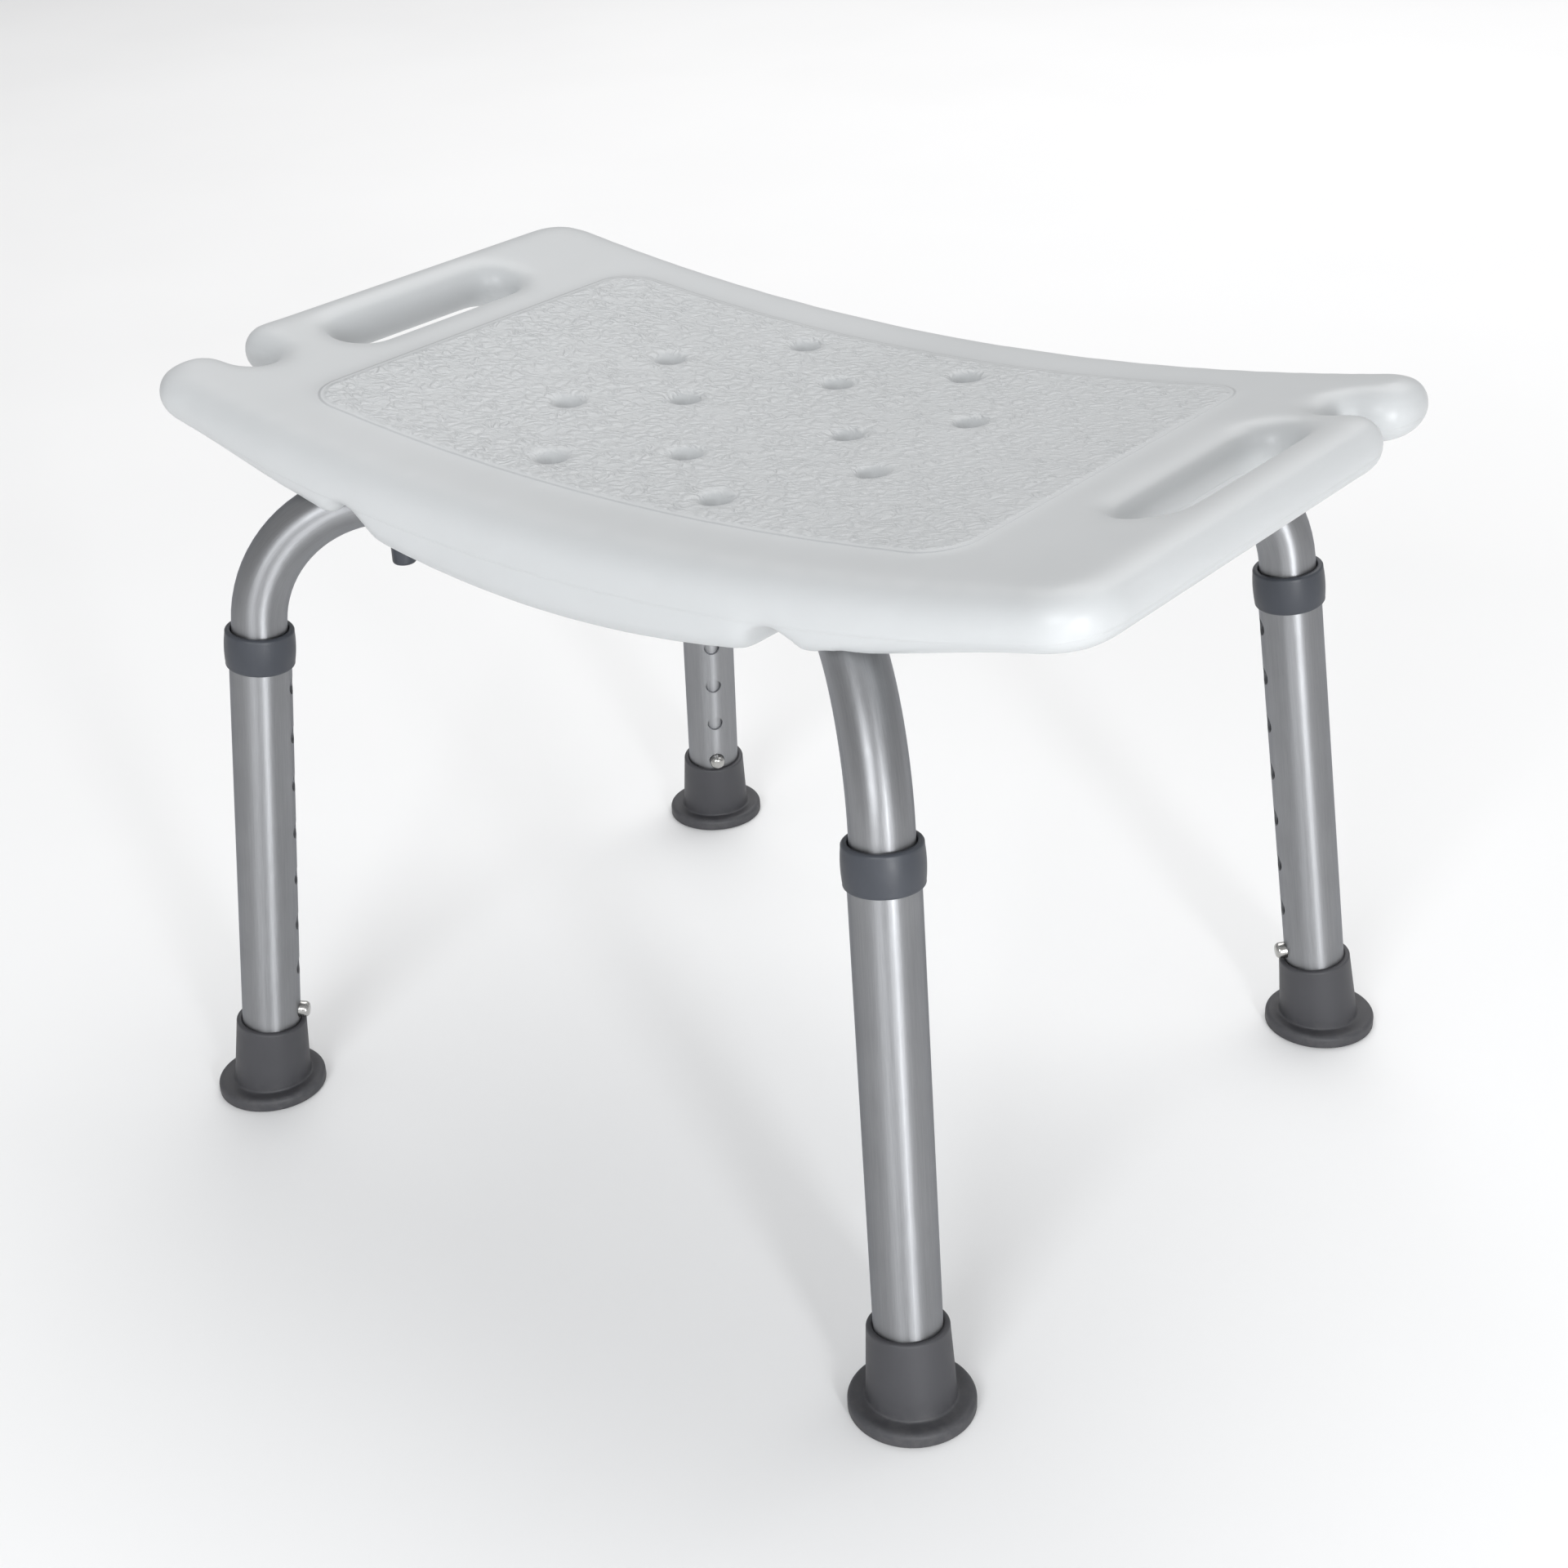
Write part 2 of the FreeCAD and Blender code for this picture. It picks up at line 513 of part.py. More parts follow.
# --- one leg, drawn in the XZ plane on the +X side --------------------------------------------
def leg_tube():
    """Outer leg tube with its row of height holes on the inner side."""
    outer = rod(LEG_TUBE_RADIUS, on_leg(LEG_TUBE_END), on_leg(LEG_TUBE_TOP))
    bore = rod(LEG_TUBE_BORE, on_leg(LEG_TUBE_END - 1), on_leg(LEG_TUBE_TOP + 1))
    holes = []
    for i in range(HOLE_COUNT):
        start = on_leg(HOLE_FIRST + i * HOLE_PITCH)
        holes.append(rod(HOLE_RADIUS, start, start + TO_MIDDLE * 2 * LEG_TUBE_RADIUS))
    return outer.cut([bore] + holes)


def collar():
    """Plastic ring pushed over the top of the leg tube; its lip guides the frame tube."""
    ring = rod(COLLAR_RADIUS, on_leg(COLLAR_BOTTOM), on_leg(COLLAR_TOP))
    ring = ring.makeFillet(COLLAR_ROUND, [e for e in ring.Edges if e.Closed])
    seat = rod(LEG_TUBE_RADIUS + COLLAR_FIT, on_leg(COLLAR_BOTTOM - 1), on_leg(LEG_TUBE_TOP + COLLAR_FIT))
    lip = rod(COLLAR_LIP_RADIUS, on_leg(COLLAR_BOTTOM), on_leg(COLLAR_TOP + 1))
    return ring.cut([seat, lip])


def foot():
    """Rubber tip: flat round flange on the floor and a sleeve in line with the leaning leg."""
    flange = Part.makeCylinder(FOOT_FLANGE_RADIUS, FOOT_FLANGE_THICK, FOOT)
    top_rim = edges_where(flange, lambda edge, middle: abs(middle.z - FOOT_FLANGE_THICK) < 1e-6)
    flange = flange.makeFillet(FOOT_FLANGE_ROUND, top_rim)
    sleeve = Part.makeCone(FOOT_SLEEVE_BASE, FOOT_SLEEVE_TOP, FOOT_SLEEVE_END, FOOT, UP_LEG)
    top = on_leg(FOOT_SLEEVE_END)
    lip = edges_where(sleeve, lambda edge, middle: edge.Closed and abs((middle - top).dot(UP_LEG)) < 0.01)
    sleeve = sleeve.makeFillet(FOOT_LIP_ROUND, lip)
    below = Part.makeBox(FAR, FAR, FAR / 8, Vector(FOOT.x - FAR / 2, -FAR / 2, -FAR / 8))
    body = flange.fuse(sleeve.cut(below)).removeSplitter()
    bore_low = LEG_TUBE_END - FOOT_DISC_THICK - 2 * FOOT_FIT
    bore = rod(LEG_TUBE_RADIUS + FOOT_FIT, on_leg(bore_low), on_leg(FOOT_SLEEVE_END + 1))
    treads = []
    for radius in TREAD_RADII:
        wide = Part.makeCylinder(radius + TREAD_WIDTH / 2, TREAD_DEPTH, FOOT)
        treads.append(wide.cut(Part.makeCylinder(radius - TREAD_WIDTH / 2, TREAD_DEPTH, FOOT)))
    return body.cut([bore] + treads)


def foot_disc():
    """Steel disc in the foot that keeps the tube from cutting through the rubber."""
    low = LEG_TUBE_END - FOOT_DISC_THICK - FOOT_FIT
    return rod(LEG_TUBE_RADIUS - FOOT_FIT, on_leg(low), on_leg(low + FOOT_DISC_THICK))


def snap_button():
    """Round button with a domed tip and a base that stays inside the frame tube."""
    base_out = FRAME_TUBE_RADIUS - FRAME_TUBE_WALL - BUTTON_BASE_GAP
    middle = on_leg(HOLE_FIRST)
    base_in = middle + TO_MIDDLE * (base_out - BUTTON_BASE_THICK)
    tip = middle + TO_MIDDLE * BUTTON_REACH
    pin = rod(BUTTON_RADIUS, base_in, tip)
    pin = pin.makeFillet(BUTTON_DOME, edges_where(pin, lambda edge, point: edge.Closed
                                                  and abs((point - tip).dot(TO_MIDDLE)) < 0.01))
    base = rod(BUTTON_BASE_RADIUS, base_in, middle + TO_MIDDLE * base_out)
    bore = rod(FRAME_TUBE_RADIUS - FRAME_TUBE_WALL - BUTTON_BASE_GAP / 2, on_leg(0), on_leg(2 * HOLE_FIRST))
    return pin.fuse(base.common(bore)).removeSplitter()


def button_spring():
    """Folded spring strip behind the button: two arms joined by a round fold above it."""
    base_in = FRAME_TUBE_RADIUS - FRAME_TUBE_WALL - BUTTON_BASE_GAP - BUTTON_BASE_THICK
    front = base_in - SPRING_GAP
    back = -math.sqrt((FRAME_TUBE_RADIUS - FRAME_TUBE_WALL - SPRING_GAP) ** 2 - (SPRING_WIDTH / 2) ** 2)
    low, high = HOLE_FIRST - BUTTON_RADIUS, HOLE_FIRST + SPRING_LENGTH
    fold = 3.0

    def point(out, up):
        return on_leg(up) + TO_MIDDLE * out

    def strip(thick_front, thick_back, fold_radius):
        middle = (thick_front + thick_back) / 2
        left, right = point(middle - fold_radius, high), point(middle + fold_radius, high)
        return [point(thick_front, low), point(thick_front, low + 2 * BUTTON_RADIUS), right,
                point(middle, high + fold_radius), left, point(thick_back, low)]

    outer = strip(front, back, fold)
    inner = strip(front - SPRING_THICK, back + SPRING_THICK, fold - SPRING_THICK)

    def side_edges(points):
        return [Part.makeLine(points[0], points[1]), Part.makeLine(points[1], points[2]),
                Part.Arc(points[2], points[3], points[4]).toShape(), Part.makeLine(points[4], points[5])]

    ends = [Part.makeLine(outer[0], inner[0]), Part.makeLine(outer[5], inner[5])]
    outline = Part.Wire(Part.__sortEdges__(side_edges(outer) + side_edges(inner) + ends))
    face = Part.Face(outline)
    face.translate(Vector(0, -SPRING_WIDTH / 2, 0))
    return face.extrude(Y_AXIS * SPRING_WIDTH)


# --- all nodes --------------------------------------------------------------------------------
def build():
    """Every node as a list of solids."""
    nodes = {
        "seat_board": [seat_board()],
        "cross_tube_upper": [turned(cross_tube(1), LEG_AZIMUTH)],
        "cross_tube_lower": [turned(cross_tube(-1), -LEG_AZIMUTH)],
        "seat_studs": seat_studs(),
        "tube_saddles": [turned(saddle(STUD_AT, True, SADDLE_THICK), a) for a in stud_places()],
        "cap_nuts": [turned(cap_nut(), a) for a in stud_places()],
        "centre_bolt": [centre_bolt()],
        "centre_nut": [centre_nut()],
        "centre_saddles": centre_saddles(),
    }
    leg_parts = {
        "leg_tube": leg_tube(),
        "collar": collar(),
        "rubber_foot": foot(),
        "foot_disc": foot_disc(),
        "snap_button": snap_button(),
        "button_spring": button_spring(),
    }
    for place, azimuth in LEGS.items():
        for name, shape in leg_parts.items():
            nodes[name + "_" + place] = [turned(shape, azimuth)]
    return nodes


os.makedirs("parts", exist_ok=True)
for node, shapes in build().items():
    solids = [solid for shape in shapes for solid in shape.Solids]
    whole = solids[0] if len(solids) == 1 else Part.makeCompound(solids)
    whole.exportStep(os.path.join("parts", node + ".step"))
    print(node, len(solids), "solid(s)", round(whole.Volume / 1000, 2), "cm3", whole.isValid())
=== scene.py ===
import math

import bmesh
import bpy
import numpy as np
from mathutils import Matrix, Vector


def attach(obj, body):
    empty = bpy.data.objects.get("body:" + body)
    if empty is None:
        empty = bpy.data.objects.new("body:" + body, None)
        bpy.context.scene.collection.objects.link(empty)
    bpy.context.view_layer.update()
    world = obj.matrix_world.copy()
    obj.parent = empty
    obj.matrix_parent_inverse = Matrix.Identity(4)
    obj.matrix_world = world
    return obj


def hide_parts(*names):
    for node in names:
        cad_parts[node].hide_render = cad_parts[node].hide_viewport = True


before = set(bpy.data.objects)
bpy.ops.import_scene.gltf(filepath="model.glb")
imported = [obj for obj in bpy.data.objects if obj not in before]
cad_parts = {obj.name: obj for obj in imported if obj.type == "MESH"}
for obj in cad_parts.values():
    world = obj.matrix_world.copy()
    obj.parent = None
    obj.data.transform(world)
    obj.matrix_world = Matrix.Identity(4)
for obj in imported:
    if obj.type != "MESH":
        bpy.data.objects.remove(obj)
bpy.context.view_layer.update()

# %% [markdown]
# # A shower stool, piece by piece
# The frame that was just loaded is the stool as it was engineered: every tube, washer and button is
# in its place, in metres, with the floor at z = 0, the seat's long side along X and its back along +Y.
# This lesson dresses it.  Hard, exactly round things such as tubes and bolts keep their engineered
# shape and only get a finish.  Things that were moulded, such as the seat, the collars and the rubber
# feet, are shaped again here, because a mould leaves soft, flowing edges.

MM = 0.001
LEG_AZIMUTH = math.radians(41.2)
LEG_LEAN = math.radians(6.75)
FOOT_RADIUS = 264.4 * MM
BEND_START = 254.0 * MM
BEND_RADIUS = 65.0 * MM
PLACES = {
    "front_left": math.pi + LEG_AZIMUTH,
    "front_right": -LEG_AZIMUTH,
    "back_right": LEG_AZIMUTH,
    "back_left": math.pi - LEG_AZIMUTH,
}

# %% [markdown]
# ## The frame of one leg
# All four legs are the same leg turned round the middle of the stool.  Each has three directions of
# its own: up the tube, towards the stool's middle, and sideways.  Everything that sits on a leg is
# written in those three, so one function serves all four corners.

# %% Directions of each leg
def leg_axes(place):
    """Foot point and the up, inward and sideways directions of one leg, as arrays."""
    turn = PLACES[place]
    out = np.array([math.cos(turn), math.sin(turn), 0.0])
    up = -math.sin(LEG_LEAN) * out + math.cos(LEG_LEAN) * np.array([0.0, 0.0, 1.0])
    inward = -math.cos(LEG_LEAN) * out - math.sin(LEG_LEAN) * np.array([0.0, 0.0, 1.0])
    return FOOT_RADIUS * out, up, inward, np.cross(up, inward)


for place in PLACES:
    print(place, "foot", np.round(leg_axes(place)[0], 4), "up", np.round(leg_axes(place)[1], 3))

# %% [markdown]
# ## A small set of words for finishes
# A finish is a chain of shader nodes.  The class below gives each kind of node a short name, so that
# a finish reads like a recipe: take the object's own coordinates, make a noise, turn it into a bump.
# Numbers that don't change over the surface are set straight on the shader.

# %% Recipe helper for materials
class Finish:
    """One material, and short words for adding nodes to it."""

    def __init__(self, name, **constants):
        self.material = bpy.data.materials.new(name)
        self.material.use_nodes = True
        self.tree = self.material.node_tree
        self.shader = self.tree.nodes["Principled BSDF"]
        for key, value in constants.items():
            self.shader.inputs[key.replace("_", " ")].default_value = value

    def put(self, value, socket):
        """Sets a number or links a node's output to a socket."""
        if hasattr(value, "node"):
            self.tree.links.new(value, socket)
        else:
            socket.default_value = value

    def place(self):
        """The object's own coordinates, in metres."""
        return self.tree.nodes.new("ShaderNodeTexCoord").outputs["Object"]

    def math(self, operation, a, b=0.0, c=None):
        """Arithmetic on one or two numbers."""
        node = self.tree.nodes.new("ShaderNodeMath")
        node.operation = operation
        self.put(a, node.inputs[0])
        self.put(b, node.inputs[1])
        if c is not None:
            self.put(c, node.inputs[2])
        return node.outputs[0]

    def vector(self, operation, a, b, value=False):
        """Arithmetic on vectors; a dot product or length gives a value."""
        node = self.tree.nodes.new("ShaderNodeVectorMath")
        node.operation = operation
        self.put(a, node.inputs[0])
        self.put(b, node.inputs[1])
        return node.outputs["Value" if value else "Vector"]

    def split(self, vector):
        """The three numbers of a vector."""
        node = self.tree.nodes.new("ShaderNodeSeparateXYZ")
        self.put(vector, node.inputs[0])
        return node.outputs

    def join(self, x, y, z):
        """A vector from three numbers."""
        node = self.tree.nodes.new("ShaderNodeCombineXYZ")
        for value, socket in zip((x, y, z), node.inputs):
            self.put(value, socket)
        return node.outputs[0]

    def noise(self, where, scale, detail=3.0, rough=0.55, distort=0.0):
        """Cloudy noise between 0 and 1."""
        node = self.tree.nodes.new("ShaderNodeTexNoise")
        self.put(where, node.inputs["Vector"])
        node.inputs["Scale"].default_value = scale
        node.inputs["Detail"].default_value = detail
        node.inputs["Roughness"].default_value = rough
        node.inputs["Distortion"].default_value = distort
        return node.outputs[0]

    def cells(self, where, scale):
        """Distance to the nearest cell border, for grain like leather."""
        node = self.tree.nodes.new("ShaderNodeTexVoronoi")
        node.feature = "DISTANCE_TO_EDGE"
        self.put(where, node.inputs["Vector"])
        node.inputs["Scale"].default_value = scale
        return node.outputs["Distance"]

    def remap(self, value, low, high, to_low=0.0, to_high=1.0, smooth=True):
        """Stretches a value from one range to another, and clamps it."""
        node = self.tree.nodes.new("ShaderNodeMapRange")
        node.interpolation_type = "SMOOTHSTEP" if smooth else "LINEAR"
        for number, socket in zip((value, low, high, to_low, to_high), node.inputs):
            self.put(number, socket)
        return node.outputs[0]

    def blend(self, share, a, b):
        """Mixes two colours."""
        node = self.tree.nodes.new("ShaderNodeMix")
        node.data_type = "RGBA"
        self.put(share, node.inputs["Factor"])
        self.put(a, node.inputs[6])
        self.put(b, node.inputs[7])
        return node.outputs[2]

    def bump(self, height, distance, strength=1.0, under=None):
        """Turns a height into a bent surface normal."""
        node = self.tree.nodes.new("ShaderNodeBump")
        node.inputs["Strength"].default_value = strength
        node.inputs["Distance"].default_value = distance
        self.put(height, node.inputs["Height"])
        if under is not None:
            self.put(under, node.inputs["Normal"])
        return node.outputs[0]

    def wear(self, colour=None, roughness=None, normal=None):
        """Links the finished chains to the shader."""
        for value, socket in ((colour, "Base Color"), (roughness, "Roughness"), (normal, "Normal")):
            if value is not None:
                self.put(value, self.shader.inputs[socket])
        return self.material


def dress(node, material):
    """Gives a CAD node its finish."""
    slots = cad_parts[node].data.materials
    slots.clear()
    slots.append(material)


# %% [markdown]
# ## Satin aluminium along a bent tube
# The tubes are drawn and then anodised, which leaves hair-fine lines that follow the tube, round
# the bends too.  A flat pattern would cut straight across a bend.  Instead the finish works out, for
# each point, how far it is from the tube's centre line inside the plane of the bend, and how far
# sideways.  Those two numbers hardly change along the tube, so a noise on them gives lengthwise lines.

# %% Coordinates that follow a straight leg
def along_leg(finish, place):
    """Inward and sideways offset and distance up one straight leg: three dot products, and its direction."""
    foot, up, inward, side = leg_axes(place)
    offset = finish.vector("SUBTRACT", finish.place(), tuple(foot))
    inner = finish.vector("DOT_PRODUCT", offset, tuple(inward), value=True)
    across = finish.vector("DOT_PRODUCT", offset, tuple(side), value=True)
    height = finish.vector("DOT_PRODUCT", offset, tuple(up), value=True)
    return inner, across, height, finish.join(*up.tolist())


# %% Coordinates that follow a whole cross tube
def along_cross_tube(finish, azimuth):
    """The same four for leg, bend and run: lines outside the bend, a circle inside it.

    The direction is square to the offset from the bend's centre, less what lies along the straight parts.
    """
    run_z = BEND_START * math.cos(LEG_LEAN) + BEND_RADIUS * (1 - math.sin(LEG_LEAN))
    centre_x = FOOT_RADIUS - BEND_START * math.sin(LEG_LEAN) - BEND_RADIUS * math.cos(LEG_LEAN)
    centre_z = run_z - BEND_RADIUS
    radial = (math.cos(azimuth), math.sin(azimuth), 0.0)
    side = (-math.sin(azimuth), math.cos(azimuth), 0.0)
    where = finish.place()
    reach = finish.vector("DOT_PRODUCT", where, radial, value=True)
    out = finish.math("ABSOLUTE", reach)
    across = finish.vector("DOT_PRODUCT", where, side, value=True)
    height = finish.split(where)[2]
    dx = finish.math("SUBTRACT", out, centre_x)
    dz = finish.math("SUBTRACT", height, centre_z)
    cos_lean, sin_lean = math.cos(LEG_LEAN), math.sin(LEG_LEAN)
    up_share = finish.math("SUBTRACT", finish.math("MULTIPLY", dz, cos_lean),
                           finish.math("MULTIPLY", dx, sin_lean))
    out_share = finish.math("ADD", finish.math("MULTIPLY", dx, cos_lean), finish.math("MULTIPLY", dz, sin_lean))
    square = finish.math("ADD", finish.math("MULTIPLY", dx, dx), finish.math("MULTIPLY", dz, dz))
    ring = finish.math("SUBTRACT", BEND_RADIUS, finish.math("SQRT", square))
    leg = finish.math("SUBTRACT", BEND_RADIUS, out_share)
    run = finish.math("SUBTRACT", BEND_RADIUS, dz)
    below = finish.math("LESS_THAN", up_share, 0.0)
    flat = finish.math("LESS_THAN", dx, 0.0)
    inner = finish.math("ADD", finish.math("MULTIPLY", ring, finish.math("SUBTRACT", 1.0, below)),
                        finish.math("MULTIPLY", leg, below))
    inner = finish.math("ADD", finish.math("MULTIPLY", inner, finish.math("SUBTRACT", 1.0, flat)),
                        finish.math("MULTIPLY", run, flat))
    low = finish.math("MULTIPLY", up_share, below)
    rise = finish.math("ADD", dx, finish.math("MULTIPLY", low, sin_lean))
    rise = finish.math("MULTIPLY", rise, finish.math("SUBTRACT", 1.0, flat))
    travel = finish.math("SUBTRACT", finish.math("MULTIPLY", low, cos_lean), dz)
    travel = finish.math("MULTIPLY", travel, finish.math("SIGN", reach))
    direction = finish.join(finish.math("MULTIPLY", travel, radial[0]),
                            finish.math("MULTIPLY", travel, radial[1]), rise)
    return inner, across, finish.math("SUBTRACT", height, out), direction


# %% The anodised finish itself
def anodised(name, coordinates):
    """Satin aluminium: long fine lines in bump, gloss and tone, faint clouds and a few rub marks.

    Its highlights are stretched along the tube, and its edges reflect less than its middle.
    """
    finish = Finish(name, Metallic=1.0, IOR=1.45, Anisotropic=0.75, Specular_Tint=(0.62, 0.63, 0.66, 1))
    inner, across, along, direction = coordinates(finish)
    finish.put(direction, finish.shader.inputs["Tangent"])
    lines_at = finish.join(finish.math("MULTIPLY", inner, 60.0), finish.math("MULTIPLY", across, 60.0), along)
    lines = finish.noise(lines_at, 95.0, 3.0, 0.6)
    broad = finish.noise(lines_at, 22.0, 2.0, 0.5)
    clouds = finish.noise(finish.place(), 38.0, 3.0, 0.6)
    rub_at = finish.join(finish.math("MULTIPLY", inner, 9.0), finish.math("MULTIPLY", across, 9.0),
                         finish.math("MULTIPLY", along, 55.0))
    rubs = finish.remap(finish.noise(rub_at, 9.0, 5.0, 0.7), 0.66, 0.78)
    tone = finish.math("ADD", finish.math("MULTIPLY", lines, 0.7), finish.math("MULTIPLY", broad, 0.3))
    tone = finish.remap(tone, 0.25, 0.75)
    colour = finish.blend(tone, (0.300, 0.303, 0.311, 1), (0.365, 0.370, 0.383, 1))
    colour = finish.blend(finish.math("MULTIPLY", rubs, 0.15), colour, (0.48, 0.48, 0.47, 1))
    rough = finish.math("ADD", finish.remap(lines, 0.25, 0.75, 0.40, 0.47),
                        finish.remap(clouds, 0.3, 0.7, -0.03, 0.04))
    rough = finish.math("ADD", rough, finish.math("MULTIPLY", rubs, 0.08))
    grain = finish.bump(lines, 0.00003, 0.4)
    grain = finish.bump(clouds, 0.00006, 0.25, under=grain)
    return finish.wear(colour, rough, grain)


for place in PLACES:
    dress("leg_tube_" + place, anodised("anodised_" + place, lambda f, place=place: along_leg(f, place)))
dress("cross_tube_upper", anodised("anodised_upper", lambda f: along_cross_tube(f, LEG_AZIMUTH)))
dress("cross_tube_lower", anodised("anodised_lower", lambda f: along_cross_tube(f, -LEG_AZIMUTH)))
print("six tubes anodised")

# %% [markdown]
# ## Steel for the small parts
# Buttons are polished steel with fine round-and-round scratches from thumbs; bolts, washers and
# springs are zinc plated, which is duller, slightly blotched and a little blue or yellow in places.

# %% Polished and plated steel
def polished_steel(name):
    """Bright steel: faint scratches in the gloss."""
    finish = Finish(name, Metallic=1.0)
    where = finish.place()
    scratch = finish.noise(finish.vector("MULTIPLY", where, (900.0, 900.0, 90.0)), 2.0, 4.0, 0.7)
    blot = finish.noise(where, 220.0, 2.0)
    colour = finish.blend(blot, (0.42, 0.41, 0.39, 1), (0.54, 0.54, 0.53, 1))
    rough = finish.remap(scratch, 0.3, 0.75, 0.16, 0.30)
    return finish.wear(colour, rough, finish.bump(scratch, 0.00001, 0.4))


def plated_steel(name):
    """Zinc plate: blotches of tone and gloss over a fine orange peel."""
    finish = Finish(name, Metallic=1.0)
    where = finish.place()
    blot = finish.noise(where, 160.0, 4.0, 0.6)
    fine = finish.noise(where, 1500.0, 2.0)
    colour = finish.blend(finish.remap(blot, 0.35, 0.65), (0.50, 0.50, 0.47, 1), (0.62, 0.63, 0.65, 1))
    rough = finish.remap(blot, 0.3, 0.7, 0.27, 0.42)
    return finish.wear(colour, rough, finish.bump(fine, 0.00002, 0.5))


bright, plated = polished_steel("button_polish"), plated_steel("zinc_plate")
for place in PLACES:
    dress("snap_button_" + place, bright)
    dress("button_spring_" + place, plated)
    dress("foot_disc_" + place, plated)
for node in ("seat_studs", "centre_bolt", "centre_nut", "centre_saddles"):
    dress(node, plated)
print("buttons, springs and fasteners finished")

# %% [markdown]
# ## Dark plastic and rubber
# Collars, nuts and saddles are moulded in a blue-grey plastic whose mould was lightly spark-eroded, so
# the surface has a fine even grain and a soft sheen.  The feet are a softer, flatter grey rubber with
# a trace of pale dust that gathers low down, where water dries.

# %% Moulded grey plastic
def moulded_grey(name):
    """Blue-grey plastic: fine grain, soft clouds of gloss, small pale rubs."""
    finish = Finish(name, IOR=1.49)
    where = finish.place()
    grain = finish.noise(where, 2600.0, 2.0, 0.6)
    clouds = finish.noise(where, 95.0, 4.0, 0.6)
    rub = finish.remap(finish.noise(where, 300.0, 5.0, 0.75), 0.63, 0.75)
    colour = finish.blend(clouds, (0.034, 0.038, 0.047, 1), (0.047, 0.052, 0.064, 1))
    colour = finish.blend(finish.math("MULTIPLY", rub, 0.3), colour, (0.10, 0.11, 0.13, 1))
    rough = finish.remap(clouds, 0.3, 0.7, 0.40, 0.52)
    return finish.wear(colour, rough, finish.bump(grain, 0.00003, 0.6))


# %% Grey rubber for the feet
def foot_rubber(name):
    """Rubber: flat grey, soft waviness, dried water dust near the floor."""
    finish = Finish(name, IOR=1.5)
    where = finish.place()
    grain = finish.noise(where, 1900.0, 3.0, 0.65)
    waves = finish.noise(where, 60.0, 3.0, 0.55)
    low = finish.remap(finish.split(where)[2], 0.001, 0.016, 1.0, 0.0)
    dust = finish.math("MULTIPLY", finish.remap(finish.noise(where, 240.0, 5.0, 0.7), 0.42, 0.7), low)
    colour = finish.blend(waves, (0.040, 0.040, 0.045, 1), (0.053, 0.053, 0.059, 1))
    colour = finish.blend(finish.math("MULTIPLY", dust, 0.22), colour, (0.16, 0.155, 0.15, 1))
    rough = finish.math("ADD", finish.remap(waves, 0.3, 0.7, 0.50, 0.60), finish.math("MULTIPLY", dust, 0.2))
    soft = finish.bump(waves, 0.0003, 0.25)
    return finish.wear(colour, rough, finish.bump(grain, 0.00004, 0.6, under=soft))


grey_plastic, rubber = moulded_grey("collar_grey"), foot_rubber("foot_grey")
for node in ("cap_nuts", "tube_saddles"):
    dress(node, grey_plastic)
print("plastic and rubber mixed")

# %% [markdown]
# ## Turned surfaces
# A collar is a profile turned round the leg.  The surface is a function of two parameters: the place
# along the profile and the angle round the leg.  Both are arrays, so one expression gives every point.

# %% From a grid of points to a closed piece
def grid_faces(rows, columns, close_rows):
    """Quads between neighbouring rows and columns; columns always close, rows if asked."""
    last = rows if close_rows else rows - 1
    row, column = np.meshgrid(np.arange(last), np.arange(columns), indexing="ij")
    below, right = (row + 1) % rows, (column + 1) % columns
    return np.stack([row * columns + column, row * columns + right,
                     below * columns + right, below * columns + column], axis=-1).reshape(-1, 4)


def make_piece(name, points, faces, material, sharp=50.0):
    """A mesh object from arrays: doubles merged, faces outwards, edges over the angle kept crisp."""
    mesh = bpy.data.meshes.new(name)
    mesh.from_pydata(points.tolist(), [], faces.tolist())
    work = bmesh.new()
    work.from_mesh(mesh)
    bmesh.ops.remove_doubles(work, verts=work.verts, dist=1e-6)
    bmesh.ops.recalc_face_normals(work, faces=work.faces)
    work.to_mesh(mesh)
    work.free()
    mesh.shade_smooth()
    mesh.set_sharp_from_angle(angle=math.radians(sharp))
    mesh.materials.append(material)
    piece = bpy.data.objects.new(name, mesh)
    bpy.context.scene.collection.objects.link(piece)
    print(name, len(mesh.vertices), "points", len(mesh.polygons), "faces")
    return piece


# %% Rounded profiles
def arc(centre, radius, start, end, steps=7):
    """Points on a circle from one angle to another, in degrees: centre plus radius times cos, sin."""
    angle = np.radians(np.linspace(start, end, steps))
    return np.stack([centre[0] + radius * np.cos(angle), centre[1] + radius * np.sin(angle)], axis=-1)


def barrel(radius, bulge, low, high, steps=11):
    """A slightly swollen side: radius plus a bulge that follows one minus the square of the place."""
    share = np.linspace(-1, 1, steps)
    return np.stack([radius + bulge * (1 - share ** 2), low + (high - low) * (share + 1) / 2], axis=-1)


# %% [markdown]
# ## The collars
# Each collar is pushed over the top of a leg tube and guides the thinner tube that slides in it.
# Its side swells like a pillow, and its lip turns in towards the tube and leaves a thin dark gap.
#  The profile is a closed loop of points (radius, height up the leg).

# %% Collar profile and its four copies
COLLAR_LOW, COLLAR_HIGH = 232.8, 251.0
TUBE_TOP = 247.0


